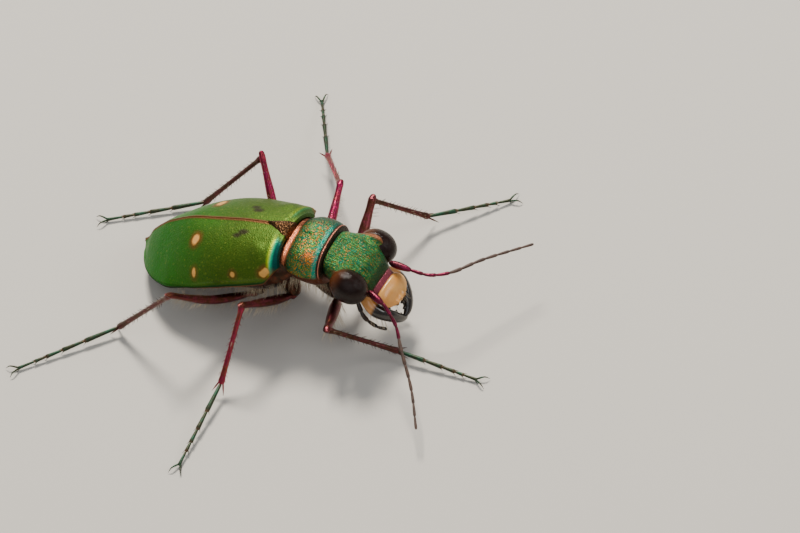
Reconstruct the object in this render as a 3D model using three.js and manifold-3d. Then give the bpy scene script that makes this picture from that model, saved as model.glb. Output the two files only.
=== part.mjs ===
// Green tiger beetle at life size, standing still on its six feet.
// Millimetres. +X is the way the body points, +Y is its left side, +Z is up.
// The floor is z = 0, and the origin is under the middle of the whole animal.

import * as THREE from 'three';
import { mergeVertices } from 'three/addons/utils/BufferGeometryUtils.js';
import Module from 'manifold-3d';

const wasm = await Module();
wasm.setup();

const DEG = Math.PI / 180;
const LEFT = 1;
const RIGHT = -1;
const SIDES = { left: LEFT, right: RIGHT };

// Space between two pieces that meet face to face
const GAP = 0.2;
// Thinnest wall and thinnest limb away from the tips
const SHELL = 0.5;
const LIMB_RADIUS = 0.25;

// How the three parts of the body are tilted: yaw, pitch and roll in degrees, head end up positive
const TRUNK_TURN = [0, 17.2, -3.3];
const PROTHORAX_TURN = [1, -14, 3.3];
const HEAD_TURN = [-4, -22, 0];

// Height of the front end of the wing cases over the floor
const TRUNK_HEIGHT = 4.19;
const ELYTRA_LENGTH = 8.3;
const ELYTRA_HALF_WIDTH = 2.66;
const ABDOMEN_END = 7.75;
const WAIST = 2.7;
const BELLY = 2.15;

const PROTHORAX_LENGTH = 1.6;
const PROTHORAX_HALF_WIDTH = 1.55;
const PROTHORAX_PLACE = [0.45, 0, -0.5];

const HEAD_PLACE = [1.6, 0, -0.15];
const HEAD_LENGTH = 2.16;
const HEAD_HALF_WIDTH = 1.2;
const NECK_LENGTH = 0.45;
const EYE_RADII = [0.8, 0.64, 0.74];
const EYE_PLACE = [1.15, 1.3, -0.08];

const ANTENNA_SEGMENTS = 10;
const TARSUS_SEGMENTS = 5;
const FOOT_RADIUS = 0.2;
const FOOT_HEIGHT = 0.14;

// Radii of the ball at each leg joint
const HIP_BALL = 0.34;
const COXA_RADIUS = 0.42;
const KNEE_BALL = 0.27;
const ANKLE_BALL = 0.25;

// Hips, on the left side: the front pair in the prothorax's frame, the others in the trunk's
const HIPS = {
  front: [1.4, 0.56, -2.2],
  mid: [-0.3, 1.15, -2.42],
  hind: [-2.25, 1.15, -2.42],
};
const COXA_ROOTS = {
  front: [0.85, 0.66, -1.05],
  mid: [-0.5, 0.85, -1.6],
  hind: [-2.0, 0.8, -1.6],
};

// How far the middle of a femur hangs below the line from hip to knee
const FEMUR_SAG = { front: 0.05, mid: 0.08, hind: 0.33 };

// Each leg's femur and tibia: length, heading and rise; its tarsus: length and heading
const LEGS = {
  front_right: { femur: [2.57, -72.4, 16.0], tibia: [3.32, 29.4, -36], tarsus: [3.7, -0.5] },
  front_left: { femur: [3.43, 96.6, 21.6], tibia: [3.2, 47.8, -45.5], tarsus: [3.7, 42] },
  mid_right: { femur: [2.95, -115, 30], tibia: [3.52, -98.8, -50], tarsus: [4.2, -88.6] },
  mid_left: { femur: [3.55, 101.5, 12], tibia: [3.65, 130.6, -25.5], tarsus: [4.05, 122] },
  hind_right: { femur: [4.5, -124.4, 32.7], tibia: [4.57, -179.6, -46.5], tarsus: [4.65, -133.8] },
  hind_left: { femur: [4.3, 126.5, 35.5], tibia: [4.6, -168, -47], tarsus: [4.4, -149] },
};

const COLOURS = {
  elytra: [0x4c8a2b, 0.45, 0.5],
  thorax: [0x3b7a3c, 0.5, 0.6],
  head: [0x3f7d3f, 0.5, 0.6],
  eye: [0x2a1a12, 0.25, 0.0],
  labrum: [0xd9a55c, 0.4, 0.0],
  mandible: [0x17130f, 0.25, 0.1],
  antenna: [0x4a3128, 0.5, 0.2],
  femur: [0x8a3a56, 0.35, 0.7],
  tibia: [0xa0584c, 0.35, 0.7],
  tarsus: [0x2c2f22, 0.4, 0.3],
};

// Closed solids from points and triangles

function solid(points, faces) {
  let volume = 0;
  for (const [a, b, c] of faces) {
    volume += points[a].dot(new THREE.Vector3().crossVectors(points[b], points[c]));
  }
  const outward = volume > 0 ? faces : faces.map(([a, b, c]) => [a, c, b]);
  const vertProperties = new Float32Array(points.flatMap((point) => point.toArray()));
  const triVerts = new Uint32Array(outward.flat());
  return new wasm.Manifold(new wasm.Mesh({ numProp: 3, vertProperties, triVerts }));
}

function fromGeometry(geometry) {
  geometry.deleteAttribute('normal');
  geometry.deleteAttribute('uv');
  const merged = mergeVertices(geometry, 1e-5);
  const vertProperties = new Float32Array(merged.attributes.position.array);
  const triVerts = new Uint32Array(merged.index.array);
  return new wasm.Manifold(new wasm.Mesh({ numProp: 3, vertProperties, triVerts }));
}

function toGeometry(shape) {
  const mesh = shape.getMesh();
  const geometry = new THREE.BufferGeometry();
  geometry.setAttribute('position', new THREE.BufferAttribute(mesh.vertProperties, 3));
  geometry.setIndex(new THREE.BufferAttribute(mesh.triVerts, 1));
  geometry.computeVertexNormals();
  return geometry;
}

function largest(shape) {
  const pieces = shape.decompose().sort((a, b) => b.volume() - a.volume());
  return pieces[0];
}

function joined(shapes) {
  return shapes.reduce((whole, shape) => whole.add(shape));
}

function cutBy(shape, cutters) {
  return largest(cutters.reduce((rest, cutter) => rest.subtract(cutter), shape));
}

function moved(shape, matrix) {
  return shape.transform(matrix.elements);
}

function ball(radius, place = [0, 0, 0], sides = 12) {
  const geometry = new THREE.SphereGeometry(radius, sides, Math.round(sides / 2));
  return fromGeometry(geometry.translate(...place));
}

// Rings of points, each joined to the next, with the two end rings closed across
function loft(rings) {
  const sides = rings[0].length;
  const faces = [];
  for (let i = 0; i + 1 < rings.length; i += 1) {
    for (let j = 0; j < sides; j += 1) {
      const a = i * sides + j;
      const b = i * sides + ((j + 1) % sides);
      faces.push([a, b, b + sides], [a, b + sides, a + sides]);
    }
  }
  const last = (rings.length - 1) * sides;
  for (let j = 0; j + 1 < sides / 2; j += 1) {
    const far = sides - 1 - j;
    for (const [start, order] of [[0, 1], [last, -1]]) {
      const square = [j, far, far - 1, j + 1].map((corner) => start + corner);
      const [a, b, c, d] = order > 0 ? square : square.reverse();
      if (c !== b) {
        faces.push([a, b, c], [a, c, d]);
      }
    }
  }
  return solid(rings.flat(), faces.filter(([a, b, c]) => a !== b && b !== c && a !== c));
}

// A smooth curve through stations of [place, value], with no overshoot
function profile(stations) {
  const slope = (i) => {
    if (i === 0 || i === stations.length - 1) {
      return 0;
    }
    const before = (stations[i][1] - stations[i - 1][1]) / (stations[i][0] - stations[i - 1][0]);
    const after = (stations[i + 1][1] - stations[i][1]) / (stations[i + 1][0] - stations[i][0]);
    return before * after <= 0 ? 0 : (2 * before * after) / (before + after);
  };
  return (x) => {
    let i = 0;
    while (i < stations.length - 2 && x > stations[i + 1][0]) {
      i += 1;
    }
    const [x0, y0] = stations[i];
    const [x1, y1] = stations[i + 1];
    const t = THREE.MathUtils.clamp((x - x0) / (x1 - x0), 0, 1);
    const rise = (x1 - x0) * (slope(i) * t * (1 - t) ** 2 - slope(i + 1) * t * t * (1 - t));
    return y0 + (y1 - y0) * t * t * (3 - 2 * t) + rise;
  };
}

// Values from 0 to 1 that lie closer together towards both ends
function easedSteps(count) {
  return Array.from({ length: count + 1 }, (_, i) => (1 - Math.cos((Math.PI * i) / count)) / 2);
}

// A body along X whose sections are flattened ovals: half width, top and bottom at each place
function barrel({ from, to, halfWidth, top, bottom, steps = 12, sides = 20, fullness = 2.3 }, grow = 0) {
  const round = (value) => Math.sign(value) * Math.abs(value) ** (2 / fullness);
  const rings = easedSteps(steps).map((t) => {
    const x = from + (to - from) * t;
    const reach = x + Math.sign(to - from) * grow * (2 * t - 1);
    const middle = (top(x) + bottom(x)) / 2;
    const height = (top(x) - bottom(x)) / 2 + grow;
    return Array.from({ length: sides }, (_, j) => {
      const angle = (2 * Math.PI * (j + 0.5)) / sides;
      const y = (halfWidth(x) + grow) * round(Math.sin(angle));
      return new THREE.Vector3(reach, y, middle + height * round(Math.cos(angle)));
    });
  });
  return loft(rings);
}

// A round limb along a curve, with its radius given from one end to the other
function limb(curve, radiusAt, steps, sides = 8, grow = 0) {
  const frames = curve.computeFrenetFrames(steps, false);
  const rings = Array.from({ length: steps + 1 }, (_, i) => {
    const t = i / steps;
    const centre = curve.getPointAt(t);
    const radius = radiusAt(t) + grow;
    return Array.from({ length: sides }, (__, j) => {
      const angle = (2 * Math.PI * (j + 0.5)) / sides;
      return centre.clone()
        .addScaledVector(frames.normals[i], radius * Math.cos(angle))
        .addScaledVector(frames.binormals[i], radius * Math.sin(angle));
    });
  });
  return loft(rings);
}

function curveThrough(points) {
  return new THREE.CatmullRomCurve3(points.map((point) => new THREE.Vector3(...point)));
}

function straight(from, to) {
  return new THREE.LineCurve3(new THREE.Vector3(...from), new THREE.Vector3(...to));
}

function onSide(point, side) {
  return [point[0], point[1] * side, point[2]];
}

// Wing cases: one domed shell on each side of the suture

const elytronHalfWidth = profile([
  [0, 0.62], [0.03, 0.78], [0.09, 0.85], [0.3, 0.94], [0.52, 1], [0.66, 0.99],
  [0.78, 0.86], [0.88, 0.64], [0.95, 0.4], [1, 0.1],
]);
const elytronTop = profile([
  [0, 0.33], [0.08, 0.5], [0.3, 0.7], [0.55, 0.7], [0.75, 0.38], [0.9, -0.2], [1, -0.8],
]);
const elytronMargin = profile([
  [0, -0.45], [0.08, -0.68], [0.3, -0.66], [0.6, -0.75], [0.85, -0.92], [1, -1.1],
]);

function elytron(side, grow = 0, steps = 16, across = 9) {
  const rings = easedSteps(steps).map((t) => {
    const x = -ELYTRA_LENGTH * t - grow * (2 * t - 1);
    const halfWidth = ELYTRA_HALF_WIDTH * elytronHalfWidth(t);
    const margin = elytronMargin(t);
    const rise = elytronTop(t) - margin;
    const wall = Math.min(SHELL, 0.42 * halfWidth, 0.6 * rise);
    const arc = (edge, top, foot) => Array.from({ length: across + 1 }, (_, i) => {
      const share = Math.sin((Math.PI / 2) * (i / across));
      const y = GAP / 2 - grow + (edge - GAP / 2 + grow) * share;
      const z = foot + (top - foot) * (1 - Math.min(share, 1) ** 2.6) ** 0.62;
      return new THREE.Vector3(x, side * y, z);
    });
    const outer = arc(halfWidth + grow, margin + rise + grow, margin - grow);
    const inner = arc(halfWidth - wall - grow, margin + rise - wall - grow, margin - grow);
    return [...outer, ...inner.reverse()];
  });
  return loft(rings);
}

function scutellum(grow = 0) {
  const halfWidth = profile([[-1.05, 0.06], [-0.2, 0.5], [0, 0.5]]);
  const top = profile([[-1.05, 0.62], [-0.2, 0.5], [0, 0.4]]);
  const bottom = (x) => top(x) - SHELL;
  return barrel({ from: 0, to: -1.05, halfWidth, top, bottom, steps: 4, sides: 12, fullness: 3 }, grow);
}

// Middle and hind thorax, with the neck that enters the prothorax
const pterothoraxShape = {
  from: 0.95,
  to: -WAIST + GAP / 2,
  halfWidth: profile([[-WAIST, 2.12], [-1.2, 2.1], [-0.3, 1.85], [0.2, 1.3], [0.45, 0.95], [0.95, 0.8]]),
  top: profile([[-WAIST, 0.3], [-0.6, 0.1], [0, 0.2], [0.3, -0.1], [0.5, -0.3], [0.95, -0.45]]),
  bottom: profile([[-WAIST, -BELLY], [-1.4, -BELLY - 0.05], [0, -1.8], [0.45, -1.15], [0.95, -1.0]]),
  steps: 12,
  sides: 20,
};
const neckShape = {
  ...pterothoraxShape,
  to: 0.2,
  steps: 6,
};

const abdomenShape = {
  from: -WAIST - GAP / 2,
  to: -ABDOMEN_END,
  halfWidth: profile([[-ABDOMEN_END, 0.5], [-7.3, 1.05], [-6.4, 1.75], [-5, 2.2], [-WAIST, 2.1]]),
  top: profile([[-ABDOMEN_END, -0.9], [-6.4, -0.1], [-5, 0.3], [-WAIST, 0.3]]),
  bottom: profile([[-ABDOMEN_END, -1.45], [-7, -1.8], [-5, -BELLY], [-WAIST, -BELLY + 0.02]]),
  steps: 12,
  sides: 20,
};

const prothoraxShape = {
  from: 0,
  to: PROTHORAX_LENGTH,
  halfWidth: profile([
    [0, 0.88], [0.2, 0.95], [0.5, 0.98], [0.95, 1], [1.35, 0.97], [PROTHORAX_LENGTH, 0.88],
  ].map(([x, share]) => [x, share * PROTHORAX_HALF_WIDTH])),
  top: profile([[0, 0.5], [0.25, 0.62], [0.85, 0.76], [1.35, 0.7], [PROTHORAX_LENGTH, 0.6]]),
  bottom: profile([[0, -1.0], [0.4, -1.25], [1.1, -1.38], [PROTHORAX_LENGTH, -1.25]]),
  steps: 10,
  sides: 20,
};

const headShape = {
  from: -NECK_LENGTH,
  to: HEAD_LENGTH,
  halfWidth: profile([
    [-NECK_LENGTH, 0.6], [0, 0.78], [0.6, 0.97], [1.15, 1], [1.6, 0.88], [HEAD_LENGTH, 0.6],
  ].map(([x, share]) => [x, share * HEAD_HALF_WIDTH])),
  top: profile([
    [-NECK_LENGTH, 0.05], [-0.1, 0.25], [0.15, 0.48], [0.6, 0.64], [1.15, 0.64],
    [1.6, 0.42], [HEAD_LENGTH, -0.08],
  ]),
  bottom: profile([[-NECK_LENGTH, -0.55], [0.2, -0.72], [1.1, -1.05], [1.7, -0.95], [HEAD_LENGTH, -0.72]]),
  steps: 12,
  sides: 20,
};

function eye(side, grow = 0) {
  const geometry = new THREE.SphereGeometry(1, 14, 9);
  geometry.scale(...EYE_RADII.map((radius) => radius + grow));
  return fromGeometry(geometry.translate(...onSide(EYE_PLACE, side)));
}

// Mouth: the broad upper lip, two sickle jaws and two pairs of palps

const LABRUM_START = HEAD_LENGTH + GAP;
const LABRUM_LENGTH = 0.66;
const labrumShape = {
  from: LABRUM_START,
  to: LABRUM_START + LABRUM_LENGTH,
  halfWidth: profile([[LABRUM_START, 0.66], [LABRUM_START + 0.3, 0.72], [LABRUM_START + LABRUM_LENGTH, 0.4]]),
  top: profile([[LABRUM_START, -0.12], [LABRUM_START + LABRUM_LENGTH, -0.46]]),
  bottom: profile([[LABRUM_START, -0.62], [LABRUM_START + LABRUM_LENGTH, -0.85]]),
  steps: 4,
  sides: 16,
  fullness: 2.8,
};

const MANDIBLE = {
  path: [[1.75, 0.8, -0.62], [2.55, 1.13, -0.75], [3.3, 0.95, -1.0], [3.7, 0.26, -1.2]],
  radius: profile([[0, 0.3], [0.4, 0.28], [0.75, 0.18], [1, 0.05]]),
};
const PALPS = {
  maxillary: [[1.55, 0.86, -1.15], [2.15, 1.2, -1.5], [2.85, 1.2, -1.7], [3.35, 0.95, -1.85]],
  labial: [[1.5, 0.36, -1.1], [2.0, 0.38, -1.55], [2.55, 0.45, -1.75], [2.95, 0.42, -1.9]],
};
const palpRadius = profile([[0, LIMB_RADIUS], [0.7, LIMB_RADIUS], [1, 0.14]]);

function mandible(side, grow = 0) {
  const path = curveThrough(MANDIBLE.path.map((point) => onSide(point, side)));
  return limb(path, MANDIBLE.radius, 10, 8, grow);
}

function palp(kind, side, grow = 0) {
  const path = curveThrough(PALPS[kind].map((point) => onSide(point, side)));
  return limb(path, palpRadius, 6, 8, grow);
}

// Antennae in the head's frame: a stout first joint, then ten slim ones
const ANTENNAE = {
  left: {
    scape: [[1.95, 0.82, 0.06], [2.77, 0.87, 0.24]],
    rest: [
      [3.02, 0.89, 0.31], [3.73, 1.03, 0.46], [4.45, 1.66, 0.55], [5.23, 2.94, 0.59], [6.58, 4.81, 0.57],
    ],
  },
  right: {
    scape: [[1.97, -0.88, 0.03], [2.62, -1.14, 0.18]],
    rest: [
      [2.86, -1.21, 0.22], [3.7, -1.68, 0.06], [4.4, -2.41, -0.11], [5.67, -3.65, -0.42], [6.75, -5.06, -0.6],
    ],
  },
};

function scape(name, grow = 0) {
  const [from, to] = ANTENNAE[name].scape;
  return limb(straight(from, to), profile([[0, 0.25], [0.5, 0.3], [1, 0.26]]), 4, 8, grow);
}

function flagellum(name) {
  const joint = (t) => (t * ANTENNA_SEGMENTS) % 1;
  const swell = (t) => 0.03 * Math.cos(2 * Math.PI * joint(t));
  const radius = (t) => LIMB_RADIUS - 0.06 * Math.max(0, (t - 0.85) / 0.15) + swell(t);
  return limb(curveThrough(ANTENNAE[name].rest), radius, 2 * ANTENNA_SEGMENTS, 6);
}

// Legs

function coxa(pair, side, grow = 0) {
  const from = onSide(COXA_ROOTS[pair], side);
  const to = onSide(HIPS[pair], side);
  const cone = limb(straight(from, to), profile([[0, COXA_RADIUS], [1, HIP_BALL]]), 3, 10, grow);
  return cone.add(ball(HIP_BALL + grow, to, 12));
}

// Each leg piece is a shaft along X from one joint to the next, ending in a ball
function femur(length, sag, grow = 0) {
  const radius = profile([[0, 0.25], [0.1, 0.27], [0.3, 0.37], [0.5, 0.36], [0.8, 0.28], [1, 0.25]]);
  const shaft = limb(curveThrough([[0, 0, 0], [length / 2, 0, -sag], [length, 0, 0]]), radius, 7, 10, grow);
  return shaft.add(ball(KNEE_BALL + grow, [length, 0, 0], 8));
}

function tibia(length, grow = 0) {
  const shaft = limb(straight([0, 0, 0], [length, 0, 0]), () => LIMB_RADIUS, 4, 8, grow);
  const spurs = [LEFT, RIGHT].map((side) => {
    const root = [length - 0.15, 0.12 * side, 0];
    const tip = [length + 0.38, 0.4 * side, 0.1];
    return limb(straight(root, tip), (t) => 0.1 - 0.07 * t, 1, 5, grow);
  });
  return joined([shaft, ball(ANKLE_BALL + grow, [length, 0, 0], 8), ...spurs]);
}

function tarsus(length) {
  const swell = (t) => (t * TARSUS_SEGMENTS) % 1;
  const radius = (t) => 0.2 + 0.05 * swell(t) - 0.04 * t * t;
  const shaft = limb(straight([0, 0, 0], [length, 0, 0]), radius, 2 * TARSUS_SEGMENTS, 8);
  const claws = [LEFT, RIGHT].map((side) => {
    const bend = new THREE.QuadraticBezierCurve3(
      new THREE.Vector3(length - 0.15, 0.05 * side, 0),
      new THREE.Vector3(length + 0.3, 0.25 * side, 0.15),
      new THREE.Vector3(length + 0.55, 0.3 * side, -0.02),
    );
    return limb(bend, (t) => 0.09 - 0.06 * t, 2, 5);
  });
  return joined([shaft, ball(FOOT_RADIUS, [length, 0, 0], 8), ...claws]);
}

// Scene graph

function material(kind) {
  const [color, roughness, metalness] = COLOURS[kind];
  return new THREE.MeshStandardMaterial({ color, roughness, metalness });
}

function addPiece(group, name, shape, kind) {
  const mesh = new THREE.Mesh(toGeometry(shape), material(kind));
  mesh.name = name;
  group.add(mesh);
  return mesh;
}

function turn(object, [yaw, pitch, roll]) {
  object.rotation.set(roll * DEG, -pitch * DEG, yaw * DEG, 'ZYX');
}

const beetle = new THREE.Group();
const trunk = new THREE.Group();
const prothorax = new THREE.Group();
const head = new THREE.Group();
beetle.add(trunk);
trunk.add(prothorax);
prothorax.add(head);
trunk.position.set(0, 0, TRUNK_HEIGHT);
prothorax.position.set(...PROTHORAX_PLACE);
head.position.set(...HEAD_PLACE);
turn(trunk, TRUNK_TURN);
turn(prothorax, PROTHORAX_TURN);
turn(head, HEAD_TURN);
beetle.updateMatrixWorld(true);

function direction(heading, rise) {
  const flat = Math.cos(rise * DEG);
  return new THREE.Vector3(
    flat * Math.cos(heading * DEG), flat * Math.sin(heading * DEG), Math.sin(rise * DEG),
  );
}

function frameAt(place, heading, rise) {
  const frame = new THREE.Object3D();
  frame.position.copy(place);
  turn(frame, [heading, rise, 0]);
  frame.updateMatrixWorld();
  return frame;
}

// Where each leg's pieces stand in the beetle's own frame, from the hip outwards
const stances = Object.entries(LEGS).map(([name, leg]) => {
  const [pair, sideName] = name.split('_');
  const side = SIDES[sideName];
  const host = pair === 'front' ? prothorax : trunk;
  const hip = host.localToWorld(new THREE.Vector3(...onSide(HIPS[pair], side)));
  const knee = hip.clone().addScaledVector(direction(...leg.femur.slice(1)), leg.femur[0]);
  const ankle = knee.clone().addScaledVector(direction(...leg.tibia.slice(1)), leg.tibia[0]);
  const [reach, heading] = leg.tarsus;
  const footRise = Math.asin((FOOT_HEIGHT - ankle.z) / reach) / DEG;
  return {
    name, pair, side, host, leg,
    femurFrame: frameAt(hip, leg.femur[1], leg.femur[2]),
    tibiaFrame: frameAt(knee, leg.tibia[1], leg.tibia[2]),
    tarsusFrame: frameAt(ankle, heading, footRise),
  };
});

// Shape of one frame seen from another
function seenFrom(shape, from, to) {
  return moved(shape, to.matrixWorld.clone().invert().multiply(from.matrixWorld));
}

function grownFemora(host) {
  return stances.filter((stance) => stance.host === host).map((stance) => {
    const shape = femur(stance.leg.femur[0], FEMUR_SAG[stance.pair], GAP);
    return seenFrom(shape, stance.femurFrame, host);
  });
}

function grownCoxae(host) {
  return stances.map((stance) => seenFrom(coxa(stance.pair, stance.side, GAP), stance.host, host));
}

const grownElytra = [elytron(LEFT, GAP), elytron(RIGHT, GAP)];
const trunkLegs = [...grownCoxae(trunk), ...grownFemora(trunk)];

addPiece(trunk, 'pterothorax', cutBy(barrel(pterothoraxShape), [
  ...grownElytra, scutellum(GAP), ...trunkLegs,
]), 'thorax');
addPiece(trunk, 'abdomen', cutBy(barrel(abdomenShape), [...grownElytra, ...trunkLegs]), 'thorax');
addPiece(trunk, 'scutellum', scutellum(), 'thorax');
for (const [name, side] of Object.entries(SIDES)) {
  addPiece(trunk, `elytron_${name}`, cutBy(elytron(side), [scutellum(GAP)]), 'elytra');
}

const grownEyes = [eye(LEFT, GAP), eye(RIGHT, GAP)];
addPiece(prothorax, 'prothorax', cutBy(barrel(prothoraxShape), [
  seenFrom(barrel(neckShape, GAP), trunk, prothorax),
  ...[barrel(headShape, GAP), ...grownEyes].map((shape) => seenFrom(shape, head, prothorax)),
  ...grownCoxae(prothorax),
  ...grownFemora(prothorax),
]), 'thorax');

addPiece(head, 'head', cutBy(barrel(headShape), [
  ...grownEyes,
  ...[LEFT, RIGHT].flatMap((side) => [
    mandible(side, GAP), palp('maxillary', side, GAP), palp('labial', side, GAP),
  ]),
  scape('left', GAP),
  scape('right', GAP),
]), 'head');
addPiece(head, 'labrum', barrel(labrumShape), 'labrum');
for (const [name, side] of Object.entries(SIDES)) {
  addPiece(head, `eye_${name}`, eye(side), 'eye');
  addPiece(head, `mandible_${name}`, mandible(side), 'mandible');
  addPiece(head, `maxillary_palp_${name}`, palp('maxillary', side), 'mandible');
  addPiece(head, `labial_palp_${name}`, palp('labial', side), 'mandible');
  addPiece(head, `antenna_scape_${name}`, scape(name), 'femur');
  addPiece(head, `antenna_${name}`, flagellum(name), 'antenna');
}

const floor = fromGeometry(new THREE.BoxGeometry(60, 60, 10).translate(0, 0, -5));
for (const { name, pair, side, host, leg, femurFrame, tibiaFrame, tarsusFrame } of stances) {
  addPiece(host, `coxa_${name}`, coxa(pair, side), 'thorax');
  const thigh = cutBy(femur(leg.femur[0], FEMUR_SAG[pair]), [
    seenFrom(coxa(pair, side, GAP), host, femurFrame),
  ]);
  const shin = cutBy(tibia(leg.tibia[0]), [ball(KNEE_BALL + GAP)]);
  const foot = cutBy(tarsus(leg.tarsus[0]), [
    seenFrom(tibia(leg.tibia[0], GAP), tibiaFrame, tarsusFrame),
    seenFrom(floor, beetle, tarsusFrame),
  ]);
  for (const [part, frame, shape] of [
    ['femur', femurFrame, thigh], ['tibia', tibiaFrame, shin], ['tarsus', tarsusFrame, foot],
  ]) {
    const piece = addPiece(beetle, `${part}_${name}`, shape, part);
    piece.position.copy(frame.position);
    piece.rotation.copy(frame.rotation);
  }
}

// The origin goes to the middle of the whole animal's footprint, on the floor
beetle.updateMatrixWorld(true);
const extent = new THREE.Box3().setFromObject(beetle, true);
const middle = extent.getCenter(new THREE.Vector3());
beetle.position.set(-middle.x, -middle.y, -extent.min.z);

export default beetle;
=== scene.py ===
import math
import random

import bpy
from mathutils import Matrix, Vector

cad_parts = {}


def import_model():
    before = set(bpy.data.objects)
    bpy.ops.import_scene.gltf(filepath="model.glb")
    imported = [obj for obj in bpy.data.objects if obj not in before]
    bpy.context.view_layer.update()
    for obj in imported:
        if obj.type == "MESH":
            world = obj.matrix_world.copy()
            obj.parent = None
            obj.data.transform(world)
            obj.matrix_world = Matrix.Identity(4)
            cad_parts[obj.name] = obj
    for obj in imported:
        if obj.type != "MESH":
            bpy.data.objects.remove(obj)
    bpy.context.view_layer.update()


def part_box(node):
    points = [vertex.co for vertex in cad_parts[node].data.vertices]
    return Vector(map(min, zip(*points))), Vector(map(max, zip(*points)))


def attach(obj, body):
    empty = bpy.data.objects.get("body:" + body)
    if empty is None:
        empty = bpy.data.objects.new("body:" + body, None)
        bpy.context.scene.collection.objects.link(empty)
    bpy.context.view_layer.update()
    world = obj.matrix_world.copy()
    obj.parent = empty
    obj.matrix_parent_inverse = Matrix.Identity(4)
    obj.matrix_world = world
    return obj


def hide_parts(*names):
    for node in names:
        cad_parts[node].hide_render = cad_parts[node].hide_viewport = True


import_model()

# A green tiger beetle at life size on a plain pale floor.
# Shapes are worked out in millimetres and brought to metres as each piece is finished.
# X is the way the body points, Y its left side, Z up.

MM = 0.001
SIDES = {"left": 1, "right": -1}

# Tilt of the three parts of the body: yaw, pitch and roll in degrees, head end up positive
TRUNK_TURN = (0, 17.2, -3.3)
PROTHORAX_TURN = (1, -14, 3.3)
HEAD_TURN = (-4, -22, 0)

TRUNK_HEIGHT = 4.19
ELYTRA_LENGTH = 8.3
ELYTRA_HALF_WIDTH = 2.66
ELYTRON_THICKNESS = 0.16
PROTHORAX_PLACE = (0.45, 0, -0.5)
PROTHORAX_LENGTH = 1.6
PROTHORAX_HALF_WIDTH = 1.55
HEAD_PLACE = (PROTHORAX_LENGTH, 0, -0.15)
HEAD_LENGTH = 2.16
HEAD_HALF_WIDTH = 1.2
EYE_RADII = (0.82, 0.68, 0.76)
EYE_PLACE = (1.15, 1.3, -0.08)
# The right eye stands a little higher and further forward than its place says
RIGHT_EYE_SHIFT = Vector((0.05, 0, 0.33))
FOOT_HEIGHT = 0.14
FLOOR_CLEARANCE = 0.005

# Hips on the left side: the front pair in the prothorax's frame, the others in the trunk's
HIPS = {
    "front": (1.4, 0.56, -2.2),
    "mid": (-0.3, 1.15, -2.42),
    "hind": (-2.25, 1.15, -2.42),
}
COXA_ROOTS = {
    "front": (0.85, 0.66, -1.05),
    "mid": (-0.5, 0.85, -1.6),
    "hind": (-2.0, 0.8, -1.6),
}
FEMUR_SAG = {"front": 0.05, "mid": 0.08, "hind": 0.33}

# Femur and tibia of each leg: length, heading and rise; its tarsus: length and heading
LEGS = {
    "front_right": {"femur": (2.57, -72.4, 16), "tibia": (3.32, 29.4, -36), "tarsus": (3.7, -0.5)},
    "front_left": {"femur": (3.43, 96.6, 21.6), "tibia": (3.2, 47.8, -45.5), "tarsus": (3.7, 42)},
    "mid_right": {"femur": (2.95, -115, 30), "tibia": (3.52, -98.8, -50), "tarsus": (4.2, -88.6)},
    "mid_left": {"femur": (3.55, 101.5, 12), "tibia": (3.65, 130.6, -25.5), "tarsus": (4.05, 122)},
    "hind_right": {"femur": (4.5, -124.4, 32.7), "tibia": (4.57, -179.6, -46.5), "tarsus": (4.65, -133.8)},
    "hind_left": {"femur": (4.3, 126.5, 35.5), "tibia": (4.6, -168, -47), "tarsus": (4.4, -149)},
}

# Camera: where it looks from, its tilt about its own axis, and pixels to a millimetre at its distance
CAMERA_AZIMUTH = 37.1
CAMERA_ELEVATION = 48.76
CAMERA_ROLL = -13.33
CAMERA_DISTANCE = 200
PIXELS_PER_MM = 23.55
IMAGE_WIDTH = 800
SENSOR_WIDTH = 36
# Where the trunk's origin on the floor shows, in pixels from the middle of the image
ORIGIN_PIXEL = (-92.5, 31.69)


# Frames of the parts of the body

def turned(yaw, pitch, roll):
    return (
        Matrix.Rotation(math.radians(yaw), 4, "Z")
        @ Matrix.Rotation(math.radians(-pitch), 4, "Y")
        @ Matrix.Rotation(math.radians(roll), 4, "X")
    )


def mirrored(point, side):
    return Vector((point[0], point[1] * side, point[2]))


def direction(heading, rise):
    flat = math.cos(math.radians(rise))
    return Vector((
        flat * math.cos(math.radians(heading)),
        flat * math.sin(math.radians(heading)),
        math.sin(math.radians(rise)),
    ))


TRUNK = Matrix.Translation((0, 0, TRUNK_HEIGHT)) @ turned(*TRUNK_TURN)
PROTHORAX = TRUNK @ Matrix.Translation(PROTHORAX_PLACE) @ turned(*PROTHORAX_TURN)
HEAD = PROTHORAX @ Matrix.Translation(HEAD_PLACE) @ turned(*HEAD_TURN)


def frame_shift():
    """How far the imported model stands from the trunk's own origin, read from its two eyes."""
    shift = Vector()
    for name, side in SIDES.items():
        low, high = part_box(f"eye_{name}")
        middle = (Vector(low) + Vector(high)) / 2 / MM
        shift += (middle - HEAD @ mirrored(EYE_PLACE, side)) / 2
    return Matrix.Translation((shift.x, shift.y, 0))


TO_FRAME = Matrix.Scale(MM, 4) @ frame_shift()


def leg_frames(name):
    """Frames at the hip, knee and ankle, each with X along the piece that starts there."""
    pair, side_name = name.split("_")
    host = PROTHORAX if pair == "front" else TRUNK
    leg = LEGS[name]
    place = host @ mirrored(HIPS[pair], SIDES[side_name])
    frames = []
    for part in ("femur", "tibia"):
        length, heading, rise = leg[part]
        frames.append(Matrix.Translation(place) @ turned(heading, rise, 0))
        place = place + direction(heading, rise) * length
    length, heading = leg["tarsus"]
    rise = math.degrees(math.asin((FOOT_HEIGHT - place.z) / length))
    frames.append(Matrix.Translation(place) @ turned(heading, rise, 0))
    return frames


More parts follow.
